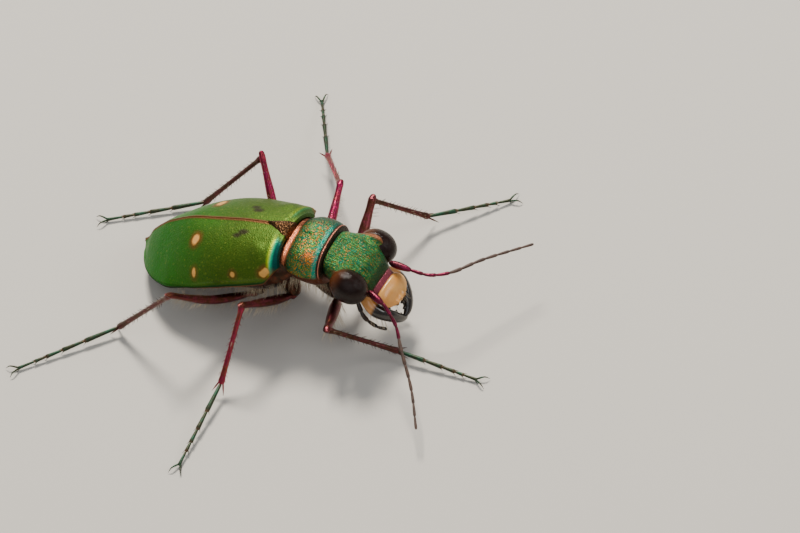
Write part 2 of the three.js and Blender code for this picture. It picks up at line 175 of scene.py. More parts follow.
def profile(stations):
    """A smooth curve through (place, value) stations, with no overshoot."""
    def slope(i):
        if i in (0, len(stations) - 1):
            return 0
        before = (stations[i][1] - stations[i - 1][1]) / (stations[i][0] - stations[i - 1][0])
        after = (stations[i + 1][1] - stations[i][1]) / (stations[i + 1][0] - stations[i][0])
        return 0 if before * after <= 0 else 2 * before * after / (before + after)

    def value(x):
        i = 0
        while i < len(stations) - 2 and x > stations[i + 1][0]:
            i += 1
        (x0, y0), (x1, y1) = stations[i], stations[i + 1]
        t = min(max((x - x0) / (x1 - x0), 0), 1)
        rise = (x1 - x0) * (slope(i) * t * (1 - t) ** 2 - slope(i + 1) * t * t * (1 - t))
        return y0 + (y1 - y0) * t * t * (3 - 2 * t) + rise

    return value


def bump(x, centre, width):
    """1 at the centre, falling smoothly to 0 at that width to either side."""
    t = abs(x - centre) / width
    return 0 if t >= 1 else (1 - t * t) ** 2


# Modelling

def clear_selection():
    if bpy.context.object and bpy.context.object.mode != "OBJECT":
        bpy.ops.object.mode_set(mode="OBJECT")
    bpy.ops.object.select_all(action="DESELECT")


def edit(kind="FACE"):
    bpy.ops.object.mode_set(mode="EDIT")
    bpy.ops.mesh.select_mode(type=kind)


def done_editing():
    bpy.ops.object.mode_set(mode="OBJECT")
    return bpy.context.object


def select(piece):
    """Selects this piece alone and makes it the active one."""
    clear_selection()
    piece.select_set(True)
    bpy.context.view_layer.objects.active = piece


def started(name, add, **settings):
    """A primitive added with these settings, with its place and size kept in its mesh."""
    clear_selection()
    add(**settings)
    bpy.ops.object.transform_apply(location=True, rotation=True, scale=True)
    piece = bpy.context.object
    piece.name = name
    return piece


def closed_up(doubles=0):
    """Merges points of the active piece closer than this and turns its faces outwards."""
    edit("VERT")
    bpy.ops.mesh.select_all(action="SELECT")
    if doubles:
        bpy.ops.mesh.remove_doubles(threshold=doubles)
    bpy.ops.mesh.normals_make_consistent(inside=False)
    return done_editing()


def apply(piece, kind, **settings):
    """Adds a modifier with these settings and applies it."""
    bpy.context.view_layer.objects.active = piece
    modifier = piece.modifiers.new(kind.title(), kind)
    for key, value in settings.items():
        setattr(modifier, key, value)
    bpy.ops.object.modifier_apply(modifier=modifier.name)


def subdivided(piece, levels):
    apply(piece, "SUBSURF", levels=levels, render_levels=levels)


def sculpt(piece, move):
    """Moves each point of a mesh to where the function puts it."""
    for vertex in piece.data.vertices:
        vertex.co = move(vertex.co.copy())
    piece.data.update()


def fuller(value, fullness):
    return math.copysign(abs(value) ** (2 / fullness), value)


def drawn_out(name, places, section, sides=32, fullness=2.0):
    """A closed body along X: a disc extruded from place to place and resized to each section,
    where section(x) gives the half width, the top and the bottom. A fullness over 2 squares it."""
    piece = started(
        name, bpy.ops.mesh.primitive_circle_add,
        vertices=sides, radius=1, fill_type="NGON", rotation=(0, math.pi / 2, 0),
    )
    sculpt(piece, lambda point: Vector((0, fuller(point.y, fullness), fuller(point.z, fullness))))
    edit()
    bpy.ops.mesh.select_all(action="SELECT")
    half_width, top, bottom = section(places[0])
    size = (half_width, (top - bottom) / 2)
    centre = Vector((places[0], 0, (top + bottom) / 2))
    bpy.ops.transform.resize(value=(1, size[0], size[1]), center_override=(0, 0, 0))
    bpy.ops.transform.translate(value=centre)
    for x in places[1:]:
        half_width, top, bottom = section(x)
        new_size = (half_width, (top - bottom) / 2)
        new_centre = Vector((x, 0, (top + bottom) / 2))
        bpy.ops.mesh.extrude_region_move(TRANSFORM_OT_translate={"value": new_centre - centre})
        bpy.ops.transform.resize(
            value=(1, new_size[0] / size[0], new_size[1] / size[1]), center_override=new_centre,
        )
        size, centre = new_size, new_centre
    return closed_up()


def limb(name, points, radii, resolution=4):
    """A round limb through the points, as a curve with its own radius at each, made a mesh."""
    data = bpy.data.curves.new(name, "CURVE")
    data.dimensions = "3D"
    data.bevel_depth = 1
    data.bevel_resolution = resolution
    data.use_fill_caps = True
    spline = data.splines.new("POLY")
    spline.points.add(len(points) - 1)
    for knot, point, radius in zip(spline.points, points, radii):
        knot.co = (*point, 1)
        knot.radius = radius
    piece = bpy.data.objects.new(name, data)
    bpy.context.collection.objects.link(piece)
    select(piece)
    bpy.ops.object.convert(target="MESH")
    return closed_up(doubles=1e-5)


def smooth_path(points, count):
    """Evenly spread points on a smooth curve through the given ones."""
    knots = [Vector(point) for point in points]
    knots = [2 * knots[0] - knots[1], *knots, 2 * knots[-1] - knots[-2]]
    dense = []
    for i in range(1, len(knots) - 2):
        before, start, end, after = knots[i - 1:i + 3]
        for step in range(40):
            t = step / 40
            dense.append((
                2 * start + (end - before) * t + (2 * before - 5 * start + 4 * end - after) * t ** 2
                + (3 * start - before - 3 * end + after) * t ** 3
            ) / 2)
    dense.append(knots[-2])
    lengths = [0]
    for one, two in zip(dense, dense[1:]):
        lengths.append(lengths[-1] + (two - one).length)
    path, i = [], 0
    for step in range(count):
        target = lengths[-1] * step / (count - 1)
        while i < len(dense) - 2 and lengths[i + 1] < target:
            i += 1
        span = lengths[i + 1] - lengths[i]
        path.append(dense[i].lerp(dense[i + 1], (target - lengths[i]) / span if span else 0))
    return path


def joined(name, pieces):
    """The first piece with the others joined to it."""
    select(pieces[0])
    for piece in pieces:
        piece.select_set(True)
    bpy.ops.object.join()
    pieces[0].name = name
    pieces[0].data.name = name
    return pieces[0]


def finish(piece, matrix, material, nodes=(), angle=40):
    """Keeps each point's own place as an attribute, sets the piece in the frame with nothing below
    the floor, gives it its material and hides the nodes it replaces."""
    mesh = piece.data
    place = mesh.attributes.new("place", "FLOAT_VECTOR", "POINT")
    for vertex, value in zip(mesh.vertices, place.data):
        value.vector = vertex.co
    mesh.transform(TO_FRAME @ matrix)
    for vertex in mesh.vertices:
        vertex.co.z = max(vertex.co.z, FLOOR_CLEARANCE * MM)
    mesh.materials.clear()
    mesh.materials.append(material)
    select(piece)
    bpy.ops.object.shade_smooth_by_angle(angle=math.radians(angle))
    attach(piece, "root")
    if nodes:
        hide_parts(*nodes)
    return piece


# Materials

class Look:
    """A material under construction. Each call adds a node and gives back its output."""

    def __init__(self, name, roughness=0.4, metallic=0.0, **sockets):
        self.material = bpy.data.materials.new(name)
        self.material.use_nodes = True
        self.tree = self.material.node_tree
        self.shader = next(node for node in self.tree.nodes if node.type == "BSDF_PRINCIPLED")
        self.shader.inputs["Roughness"].default_value = roughness
        self.shader.inputs["Metallic"].default_value = metallic
        for key, value in sockets.items():
            self.shader.inputs[key.replace("_", " ")].default_value = value
        self.place = self.attribute("place", "Vector")

    def add(self, kind, inputs=(), **settings):
        node = self.tree.nodes.new(kind)
        for key, value in settings.items():
            setattr(node, key, value)
        for key, value in dict(inputs).items():
            if isinstance(value, bpy.types.NodeSocket):
                self.tree.links.new(value, node.inputs[key])
            elif value is not None:
                node.inputs[key].default_value = value
        return node

    def attribute(self, name, output="Fac"):
        """A value that the piece keeps for each of its points."""
        return self.add("ShaderNodeAttribute", attribute_name=name).outputs[output]

    def math(self, operation, a, b=0.0, c=0.0, clamp=False):
        node = self.add("ShaderNodeMath", {0: a, 1: b, 2: c}, operation=operation, use_clamp=clamp)
        return node.outputs[0]

    def scaled(self, x, y, z):
        return self.add("ShaderNodeMapping", {"Vector": self.place, "Scale": (x, y, z)}).outputs[0]

    def noise(self, scale, detail=3.0, roughness=0.55, vector=None):
        inputs = {"Vector": vector or self.place, "Scale": scale, "Detail": detail, "Roughness": roughness}
        return self.add("ShaderNodeTexNoise", inputs).outputs[0]

    def cells(self, scale, output="Distance"):
        return self.add("ShaderNodeTexVoronoi", {"Vector": self.place, "Scale": scale}).outputs[output]

    def ramp(self, value, low, high, smooth=True):
        """0 below the first value, 1 above the second."""
        kind = "SMOOTHSTEP" if smooth else "LINEAR"
        inputs = {"Value": value, "From Min": low, "From Max": high, "To Min": 0.0, "To Max": 1.0}
        return self.add("ShaderNodeMapRange", inputs, interpolation_type=kind, clamp=True).outputs[0]

    def axis(self, name):
        return self.add("ShaderNodeSeparateXYZ", {0: self.place}).outputs[name]

    def mix(self, factor, first, second, kind="MIX"):
        node = self.add("ShaderNodeMix", data_type="RGBA", blend_type=kind)
        for socket, value in ((node.inputs[0], factor), (node.inputs[6], first), (node.inputs[7], second)):
            if isinstance(value, bpy.types.NodeSocket):
                self.tree.links.new(value, socket)
            elif isinstance(value, (int, float)):
                socket.default_value = value
            else:
                socket.default_value = (*value, 1)
        return node.outputs[2]

    def tinted(self, base, where, colour, strength):
        """The base with a colour laid over it, as strong as the mask and the strength together."""
        return self.mix(self.math("MULTIPLY", where, strength), base, colour)

    def colours(self, value, stops):
        node = self.add("ShaderNodeValToRGB", {0: value})
        elements = node.color_ramp.elements
        while len(elements) < len(stops):
            elements.new(0.5)
        for element, (position, colour) in zip(elements, stops):
            element.position = position
            element.color = (*colour, 1)
        return node.outputs[0]

    def finish(self, colour, heights=(), roughness=None, metallic=None):
        """Links the colour, and bumps given as (height, depth in millimetres)."""
        links = self.tree.links
        links.new(colour, self.shader.inputs["Base Color"])
        if roughness is not None:
            links.new(roughness, self.shader.inputs["Roughness"])
        if metallic is not None:
            links.new(metallic, self.shader.inputs["Metallic"])
        normal = None
        for height, depth in heights:
            inputs = {"Height": height, "Distance": depth * MM, "Strength": 1.0, "Normal": normal}
            normal = self.add("ShaderNodeBump", inputs).outputs[0]
        if normal is not None:
            links.new(normal, self.shader.inputs["Normal"])
        return self.material


# Colours, and the looks made from them

LEAF_GREEN = (0.018, 0.18, 0.01)
OLIVE_GREEN = (0.075, 0.13, 0.014)
DEEP_GREEN = (0.006, 0.05, 0.012)
SALMON = (0.95, 0.3, 0.14)
RUST = (0.85, 0.18, 0.02)
MAGENTA = (0.3, 0.012, 0.07)
CREAM = (0.7, 0.35, 0.085)
# Grains to a millimetre
THORAX_GRAIN = 22
HEAD_GRAIN = 27


def below(look, value, low, high):
    """1 below the first value, 0 above the second."""
    return look.math("SUBTRACT", 1.0, look.ramp(value, low, high))


def spot_on(look, vector, centre, radii, edge, wobble):
    """An oval spot in the plane of the first two coordinates of the vector."""
    moved = look.add("ShaderNodeVectorMath", {0: vector, 1: (*centre, 0)}, operation="SUBTRACT").outputs[0]
    size = look.add("ShaderNodeVectorMath", {0: moved, 1: (*radii, 1)}, operation="DIVIDE").outputs[0]
    distance = look.add("ShaderNodeVectorMath", {0: size}, operation="LENGTH").outputs["Value"]
    distance = look.math("ADD", distance, wobble)
    return below(look, distance, 1 - edge, 1 + edge)


# Spots on a wing case laid flat: place along it and across from the suture, half lengths, and for the
# pale ones the strength of the brown ring around
PALE_SPOTS = (
    ((-4.23, 1.16), (0.19, 0.25), 0.9),
    ((-4.0, 2.6), (0.1, 0.2), 0.5),
    ((-1.98, 2.6), (0.11, 0.12), 0.5),
    ((-0.55, 2.4), (0.16, 0.13), 0.5),
    ((-0.44, 2.31), (0.15, 0.13), 0.5),
    ((-0.34, 2.2), (0.13, 0.13), 0.5),
)
DARK_SPOTS = (((-2.12, 0.86), (0.2, 0.12)), ((-1.86, 0.66), (0.24, 0.14)))


def wing_case_look():
    look = Look("wing_case", roughness=0.46, metallic=0.6, Specular_IOR_Level=0.12)
    along, across = look.axis("X"), look.math("ABSOLUTE", look.axis("Y"))
    cloud = look.math("MULTIPLY", look.noise(1.2, 2), 2.5)
    front = look.ramp(look.math("ADD", along, cloud), -5.6, -0.6)
    base = look.mix(front, LEAF_GREEN, OLIVE_GREEN)
    speck = look.ramp(look.noise(16, 3, 0.7), 0.35, 0.7)
    base = look.tinted(base, speck, (0.015, 0.08, 0.008), 0.55)
    glint = look.ramp(look.cells(15, output="Color"), 0.75, 1.0)
    base = look.tinted(base, glint, (0.24, 0.3, 0.04), 0.45)
    # Painted highlight along the front edge of the wing cases: yellow, then cyan, then dark teal at the
    # very edge; full strength on the right, near side, a quarter as strong on the left.
    edge = look.colours(look.ramp(along, -0.42, -0.02, smooth=False), [
        (0.0, (0.12, 0.3, 0.02)), (0.35, (0.42, 0.5, 0.01)), (0.55, (0.01, 0.4, 0.2)),
        (0.75, (0.0, 0.06, 0.05)),
    ])
    highlight_strength_by_side = look.math("MULTIPLY_ADD", below(look, look.axis("Y"), -0.4, 0.4), 0.75, 0.25)
    painted_front_highlight = look.math("MULTIPLY", look.ramp(along, -0.45, -0.25), look.ramp(across, 0.5, 0.9))
    base = look.tinted(base, painted_front_highlight, edge, highlight_strength_by_side)
    rim = look.attribute("rim")
    base = look.mix(look.ramp(rim, 0.1, 0.6), base, DEEP_GREEN)
    seam = look.math("MAXIMUM", below(look, across, 0.05, 0.13), look.ramp(rim, 0.75, 0.95))
    base = look.tinted(base, seam, (0.2, 0.06, 0.03), 0.85)
    pattern = look.attribute("unrolled", "Vector")
    wobble = look.math("MULTIPLY", look.math("SUBTRACT", look.noise(3.5), 0.5), 0.7)
    pale = 0.0
    for centre, radii, ring in PALE_SPOTS:
        halo = spot_on(look, pattern, centre, [radius + 0.13 for radius in radii], 0.5, wobble)
        base = look.tinted(base, halo, (0.2, 0.06, 0.015), ring)
    for centre, radii, ring in PALE_SPOTS:
        core = spot_on(look, pattern, centre, radii, 0.3, wobble)
        base = look.mix(core, base, CREAM)
        pale = look.math("ADD", pale, core, clamp=True)
    for centre, radii in DARK_SPOTS:
        mark = spot_on(look, pattern, centre, radii, 0.6, wobble)
        base = look.tinted(base, mark, (0.03, 0.022, 0.012), 0.9)
    metallic = look.math("MULTIPLY_ADD", pale, -0.6, 0.6)
    return look.finish(base, [(look.noise(2.6, 2), 0.02), (look.cells(17), 0.012)], metallic=metallic)


def grain_colours(look, scale, stops):
    """Colour that differs from grain to grain over a slower cloud of the same colours."""
    cloud = look.colours(look.noise(2.6, 5, 0.7), stops)
    wider = [(0.08 + 0.85 * place, tint) for place, tint in stops]
    grain = look.colours(look.cells(scale, output="Color"), wider)
    return look.mix(0.5, cloud, grain)


def thorax_look():
    look = Look("thorax_shell", roughness=0.4, metallic=0.9)
    along = look.axis("X")
    base = grain_colours(look, THORAX_GRAIN, [
        (0.3, (0.0, 0.2, 0.13)), (0.42, (0.004, 0.07, 0.03)), (0.54, (0.04, 0.2, 0.03)),
        (0.68, (0.24, 0.24, 0.04)), (0.82, RUST),
    ])
    front = look.math("MULTIPLY", look.ramp(along, 0.94, 1.1), below(look, along, 1.16, 1.2))
    base = look.tinted(base, front, (0.0, 0.3, 0.24), 0.65)
    # Painted highlight: orange glints on some grains at the right, near front corner.
    wobble = look.math("MULTIPLY", look.noise(5), 0.5)
    painted_glints = spot_on(look, look.place, (0.8, -1.0), (0.35, 0.3), 0.6, wobble)
    base = look.tinted(base, painted_glints, RUST, look.ramp(look.cells(THORAX_GRAIN, output="Color"), 0.3, 0.5))
    # Painted shade: the left, far side darkened towards green-black.
    painted_far_side_shade = look.ramp(look.math("ADD", look.axis("Y"), look.math("MULTIPLY", look.noise(4), 0.3)), 0.55, 1.1)
    base = look.tinted(base, painted_far_side_shade, (0.0, 0.05, 0.03), 0.75)
    collar = look.math("MULTIPLY", look.ramp(along, 1.25, 1.27), below(look, along, 1.29, 1.31))
    base = look.mix(look.ramp(along, 1.15, 1.19), base, (0.03, 0.02, 0.012))
    base = look.mix(collar, base, (0.5, 0.17, 0.11))
    # The hind collar: salmon around its middle, a little to the right, fading to painted shade, dark brown,
    # towards both ends.
    across = look.math("ABSOLUTE", look.math("ADD", look.axis("Y"), 0.45))
    salmon_with_painted_shade = look.mix(look.ramp(across, 0.55, 1.0), SALMON, (0.16, 0.05, 0.025))
    base = look.mix(below(look, along, -0.32, -0.24), base, salmon_with_painted_shade)
    low = below(look, look.axis("Z"), -0.42, -0.12)
    base = look.mix(low, base, (0.12, 0.035, 0.015))
    return look.finish(base, [(look.noise(7, 3), 0.03), (look.cells(THORAX_GRAIN), 0.02)])


def scutellum_look():
    look = Look("scutellum", roughness=0.35, metallic=0.9)
    base = look.mix(look.noise(6, 4), (0.11, 0.05, 0.015), (0.035, 0.015, 0.008))
    return look.finish(base, [(look.cells(14), 0.03)])


def head_look():
    look = Look("head_shell", roughness=0.36, metallic=0.9)
    along, across = look.axis("X"), look.math("ABSOLUTE", look.axis("Y"))
    base = grain_colours(look, HEAD_GRAIN, [
        (0.3, (0.0, 0.2, 0.13)), (0.42, (0.008, 0.09, 0.03)), (0.57, (0.05, 0.21, 0.035)),
        (0.78, (0.2, 0.22, 0.04)), (0.97, RUST),
    ])
    lines = look.noise(1.0, 3, 0.6, vector=look.scaled(1.2, 18.0, 4.0))
    base = look.tinted(base, look.ramp(lines, 0.45, 0.62), DEEP_GREEN, 0.7)
    orbit = look.math("MULTIPLY", look.ramp(across, 1.06, 1.18), look.ramp(look.axis("Z"), 0.25, 0.45))
    base = look.tinted(base, orbit, (0.34, 0.09, 0.05), 0.75)
    # Painted shade on the brow, where it slopes down towards the lip.
    painted_brow_shade = look.ramp(along, 1.62, 1.82)
    base = look.tinted(base, painted_brow_shade, (0.02, 0.05, 0.02), 0.8)
    base = look.mix(look.ramp(along, 1.98, 2.08), base, (0.28, 0.06, 0.09))
    low = below(look, look.axis("Z"), -0.35, 0.0)
    base = look.mix(low, base, (0.04, 0.02, 0.012))
    return look.finish(base, [(lines, 0.05), (look.cells(HEAD_GRAIN), 0.018)])


def metal_look(name, colour, second, dark, roughness=0.3, scale=3.0, **sockets):
    look = Look(name, roughness=roughness, metallic=0.9, **sockets)
    base = look.mix(look.ramp(look.noise(scale, 3), 0.4, 0.65), colour, second)
    base = look.tinted(base, look.ramp(look.noise(scale * 3, 4), 0.42, 0.7), dark, 0.5)
    return look.finish(base, [(look.noise(18, 3), 0.014)])


def plain_look(name, colour, second, roughness, scale=5.0, **sockets):
    look = Look(name, roughness=roughness, **sockets)
    base = look.mix(look.ramp(look.noise(scale, 4), 0.35, 0.65), colour, second)
    return look.finish(base, [(look.noise(scale * 3, 3), 0.01)])


def tarsus_look():
    """Dark joints, paler where they meet."""
    look = Look("tarsus", roughness=0.4, metallic=0.6)
    base = look.mix(look.ramp(look.noise(3, 3), 0.4, 0.65), (0.03, 0.035, 0.015), (0.015, 0.06, 0.03))
    joint = look.attribute("rim")
    base = look.tinted(base, joint, (0.16, 0.07, 0.035), 0.6)
    return look.finish(base, [(look.noise(18, 3), 0.012)])


def jaw_look():
    look = Look("jaw", roughness=0.22, Coat_Weight=0.3)
    base = look.mix(look.noise(4, 3), (0.008, 0.006, 0.005), (0.02, 0.012, 0.008))
    base = look.mix(below(look, look.axis("X"), 2.3, 2.5), base, (0.62, 0.27, 0.07))
    return look.finish(base, [(look.noise(9, 3), 0.01)])


def eye_look():
    look = Look("eye", roughness=0.14, Specular_IOR_Level=0.18)
    base = look.mix(look.noise(3, 3), (0.006, 0.003, 0.002), (0.018, 0.006, 0.004))
    rear = below(look, look.axis("X"), 0.45, 1.0)
    base = look.tinted(base, rear, (0.16, 0.045, 0.012), 0.5)
    return look.finish(base, [(look.cells(30), 0.008)])


def hair_look():
    look = Look("pale_hair", roughness=0.45)
    base = look.mix(look.noise(4, 2), (0.55, 0.46, 0.31), (0.36, 0.27, 0.17))
    return look.finish(base, [(look.noise(20, 2), 0.004)])


WING_CASE = wing_case_look()
THORAX_SHELL = thorax_look()
SCUTELLUM = scutellum_look()
HEAD_SHELL = head_look()
UNDERSIDE = metal_look("underside", (0.045, 0.022, 0.012), (0.09, 0.028, 0.015), (0.008, 0.02, 0.012), 0.36)
# Lit and shaded copies of the femur and tibia looks: painted light on the lit copies, painted shade on the
# shaded ones.
LIT_FEMUR = metal_look("femur", MAGENTA, (0.3, 0.03, 0.05), (0.06, 0.03, 0.02))
SHADED_FEMUR = metal_look(
    "femur_shaded", (0.16, 0.03, 0.04), (0.1, 0.03, 0.015), (0.03, 0.012, 0.008), scale=4.0,
)
LIT_TIBIA = metal_look("tibia", (0.3, 0.025, 0.06), (0.24, 0.05, 0.035), (0.1, 0.03, 0.02))
SHADED_TIBIA = metal_look("tibia_shaded", (0.11, 0.03, 0.03), (0.07, 0.032, 0.018), (0.025, 0.012, 0.008))
TARSUS = tarsus_look()
ANTENNA_BASE = metal_look("antenna_base", (0.2, 0.015, 0.05), (0.11, 0.02, 0.03), (0.04, 0.02, 0.02))
ANTENNA = plain_look("antenna", (0.05, 0.025, 0.016), (0.09, 0.045, 0.03), 0.5)
UPPER_LIP = plain_look("upper_lip", CREAM, (0.6, 0.25, 0.05), 0.3, scale=1.6, Coat_Weight=0.15)
JAW = jaw_look()
PALP = plain_look("palp", (0.012, 0.009, 0.007), (0.04, 0.02, 0.012), 0.25)
EYE = eye_look()
HAIR = hair_look()


# Wing cases. Each profile runs from their front, at 0, to their tip, at 1

ELYTRON_WIDTH = profile([
    (0, 0.62), (0.03, 0.78), (0.09, 0.85), (0.3, 0.94), (0.52, 1), (0.66, 0.99),
    (0.78, 0.86), (0.88, 0.64), (0.95, 0.4), (0.98, 0.25), (0.995, 0.12), (1, 0.05),
])
ELYTRON_TOP = profile([
    (0, 0.3), (0.05, 0.48), (0.3, 0.68), (0.55, 0.68), (0.75, 0.38), (0.9, -0.2), (1, -0.8),
])
ELYTRON_MARGIN = profile([
    (0, -0.5), (0.08, -0.86), (0.3, -0.92), (0.6, -0.96), (0.85, -1.02), (1, -1.12),
])
# How the height falls away across the back: round in front, a steeper roof behind
ELYTRON_FULLNESS = profile([(0, 2.4), (0.3, 2.4), (0.8, 1.3), (1, 1.3)])
ELYTRON_ROUNDING = profile([(0, 0.6), (0.3, 0.6), (0.8, 1.0), (1, 1.0)])
SUTURE = 0.02
SUTURE_RIDGE = 0.03
SHOULDER_X, SHOULDER_Y = -0.8, 1.5
SHOULDER_REACH = 0.6
SHOULDER_HEIGHT = 0.09
GUTTER_DEPTH = 0.05
ELYTRON_EDGE = 0.035
ARC_STEPS = 40


def elytron_point(t, share, side):
    """A point on the outside of a wing case: t along it from the front, share across from the suture."""
    half_width = ELYTRA_HALF_WIDTH * ELYTRON_WIDTH(t)
    top, margin = ELYTRON_TOP(t), ELYTRON_MARGIN(t)
    x = -ELYTRA_LENGTH * t
    y = SUTURE + (half_width - SUTURE) * share
    z = margin + (top - margin) * (1 - min(share, 1) ** ELYTRON_FULLNESS(t)) ** ELYTRON_ROUNDING(t)
    z += SUTURE_RIDGE * bump(y, SUTURE, 0.1)
    z += SHOULDER_HEIGHT * bump(x, SHOULDER_X, SHOULDER_REACH) * bump(y, SHOULDER_Y, SHOULDER_REACH)
    return Vector((x, side * y, z))


def spread(point):
    """Place along a wing case and share across it for a point of the flat grid, closer at the edges."""
    return (1 - math.cos(math.pi * point.x)) / 2, math.sin(point.y * math.pi / 2)


def unroll(piece, side):
    """Keeps each point's place on the wing case laid flat: along it, and over its curve from the suture."""
    spans = {}
    flat = piece.data.attributes.new("unrolled", "FLOAT_VECTOR", "POINT")
    for vertex, value in zip(piece.data.vertices, flat.data):
        t, share = spread(vertex.co)
        column = round(t, 5)
        if column not in spans:
            arc = [elytron_point(t, i / ARC_STEPS, side) for i in range(ARC_STEPS + 1)]
            spans[column] = [0]
            for one, two in zip(arc, arc[1:]):
                spans[column].append(spans[column][-1] + (two - one).length)
        span, reach = spans[column], min(share, 1) * ARC_STEPS
        low = min(int(reach), ARC_STEPS - 1)
        value.vector = (-ELYTRA_LENGTH * t, span[low] + (span[low + 1] - span[low]) * (reach - low), 0)


def note_rim(piece, amount):
    """Keeps a value from 0 to 1 for each point, for the looks to read."""
    rim = piece.data.attributes.new("rim", "FLOAT", "POINT")
    for vertex, value in zip(piece.data.vertices, rim.data):
        value.value = amount(vertex.co)


def elytron(name, side):
    """A flat grid domed over the back, with a gutter inside its outer edge, given its thickness."""
    piece = started(
        f"elytron_{name}_shell", bpy.ops.mesh.primitive_grid_add,
        x_subdivisions=150, y_subdivisions=64, size=1, location=(0.5, 0.5, 0),
    )

    def dome(point):
        t, share = spread(point)
        place = elytron_point(t, share, side)
        place.y -= side * GUTTER_DEPTH * bump(point.y, 0.9, 0.07) * min(1, 8 * t)
        return place

    note_rim(piece, lambda point: max(bump(point.y, 1, 0.1), bump(point.x, 1, 0.06)))
    unroll(piece, side)
    sculpt(piece, dome)
    closed_up(doubles=1e-4)
    if sum(face.normal.z * face.area for face in piece.data.polygons) < 0:
        piece.data.flip_normals()
    apply(piece, "SOLIDIFY", thickness=ELYTRON_THICKNESS, offset=-1, use_even_offset=False)
    apply(
        piece, "BEVEL", width=ELYTRON_EDGE, segments=3, limit_method="ANGLE", angle_limit=math.radians(50),
    )
    return finish(piece, TRUNK, WING_CASE, [f"elytron_{name}"])


# Body. Each section has its half width, top and bottom from place to place along X

def eased(start, end, count):
    """Places that lie closer together towards both ends."""
    return [start + (end - start) * (1 - math.cos(math.pi * i / count)) / 2 for i in range(count + 1)]


def section_of(half_width, top, bottom):
    return lambda x: (half_width(x), top(x), bottom(x))


SCUTELLUM_SECTION = section_of(
    profile([(-0.95, 0.05), (-0.25, 0.42), (0.05, 0.5)]),
    profile([(-0.95, 0.7), (-0.3, 0.55), (0.05, 0.36)]),
    profile([(-0.95, 0.3), (0.05, 0.0)]),
)
PTEROTHORAX_SECTION = section_of(
    profile([(-2.75, 2.05), (-1.2, 2.05), (-0.3, 1.85), (0.1, 1.5), (0.5, 1.3), (1.0, 0.95)]),
    profile([(-2.75, 0.2), (-0.6, 0.1), (-0.2, 0.0), (0.1, -0.3), (0.55, -0.45), (1.0, -0.5)]),
    profile([(-2.75, -2.13), (-1.4, -2.2), (0, -1.85), (0.45, -1.3), (1.0, -1.0)]),
)
SIDE_SEAMS = (-0.15, -0.95, -1.9)
SEAM_DEPTH = 0.05
ABDOMEN_SECTION = section_of(
    profile([(-7.55, 0.3), (-7.2, 1.0), (-6.4, 1.8), (-5, 2.25), (-2.7, 2.1)]),
    profile([(-7.55, -1.1), (-6.4, -0.65), (-5, 0.0), (-2.7, 0.25)]),
    profile([(-7.55, -1.4), (-6.9, -1.8), (-5, -2.15), (-2.7, -2.12)]),
)
RING_LENGTH = 0.95
RING_LAP = 0.04
PROTHORAX_SECTION = section_of(
    profile([(x, PROTHORAX_HALF_WIDTH * share) for x, share in (
        (-0.75, 0.72), (-0.62, 0.84), (-0.46, 0.87), (-0.36, 0.86), (-0.2, 0.92), (0.4, 1.0), (0.9, 0.99),
        (1.14, 0.94), (1.2, 0.91), (1.28, 0.93), (1.4, 0.84),
    )]),
    profile([
        (-0.75, 0.22), (-0.62, 0.4), (-0.46, 0.46), (-0.36, 0.44), (-0.2, 0.56), (0.4, 0.77), (0.9, 0.75),
        (1.14, 0.67), (1.2, 0.61), (1.28, 0.66), (1.4, 0.54),
    ]),
    profile([(-0.75, -0.9), (0.2, -1.2), (1.0, -1.36), (1.4, -1.2)]),
)
# Close together at the two collars
PROTHORAX_PLACES = [
    -0.75, -0.69, -0.62, -0.54, -0.46, -0.4, -0.34, -0.22, 0, 0.25, 0.5, 0.75, 1.0, 1.14, 1.2, 1.27,
    1.34, 1.4,
]
MIDLINE_DEPTH = 0.05
RAIL_HEIGHT = 0.05
HEAD_BACK, HEAD_FRONT = -0.7, 2.28
HEAD_SECTION = section_of(
    profile([(x, HEAD_HALF_WIDTH * share) for x, share in (
        (HEAD_BACK, 0.6), (-0.3, 0.86), (0.1, 0.95), (0.6, 1.0), (1.15, 1.0), (1.6, 0.9), (1.95, 0.7),
        (HEAD_FRONT, 0.6),
    )]),
    profile([
        (HEAD_BACK, 0.1), (-0.45, 0.42), (0, 0.58), (0.6, 0.68), (1.15, 0.66), (1.55, 0.48), (1.9, 0.16),
        (2.1, -0.02), (HEAD_FRONT, -0.1),
    ]),
    profile([(HEAD_BACK, -0.55), (0.2, -0.75), (1.1, -1.05), (1.7, -0.95), (HEAD_FRONT, -0.68)]),
)
CROWN_SPREAD = 0.34
# The eye rim stands higher on the left, on the far side from the camera
EYE_RIM_HEIGHTS = {"right": 0.1, "left": 0.26}
CROWN_HOLLOW = 0.07
LIP_SEAM_DEPTH = 0.05
EYE_REAR_STRETCH = 0.06
EYE_TOP_FLATTENING = 0.05


def scutellum():
    piece = drawn_out("scutellum_plate", eased(0.05, -0.95, 8), SCUTELLUM_SECTION, 20)
    subdivided(piece, 2)
    return finish(piece, TRUNK, SCUTELLUM, ["scutellum"])


def pterothorax():
    """Middle and hind thorax, with the seams between its side plates."""
    piece = drawn_out("middle_and_hind_thorax", eased(1.0, -2.75, 22), PTEROTHORAX_SECTION, 40)
    subdivided(piece, 2)

    def seams(point):
        if point.z < -0.5 and abs(point.y) > 0.5:
            slanted = point.x + 0.35 * (point.z + 1.2)
            depth = max(bump(slanted, place, 0.07) for place in SIDE_SEAMS)
            point.y -= math.copysign(SEAM_DEPTH * depth, point.y)
        return point

    sculpt(piece, seams)
    return finish(piece, TRUNK, UNDERSIDE, ["pterothorax"])


def abdomen():
    """Five rings, each widening towards its hind edge, and the tip."""
    def section(x):
        half_width, top, bottom = ABDOMEN_SECTION(x)
        lap = RING_LAP * (((-x - 2.7) / RING_LENGTH) % 1)
        return half_width + lap, top, bottom - lap

    places = [-2.6 - RING_LENGTH * ring - offset for ring in range(5) for offset in (0.0, 0.45, 0.88)]
    places += [-7.42, -7.5, -7.55]
    piece = drawn_out("abdomen_rings", places, section, 32)
    subdivided(piece, 2)
    return finish(piece, TRUNK, UNDERSIDE, ["abdomen"])


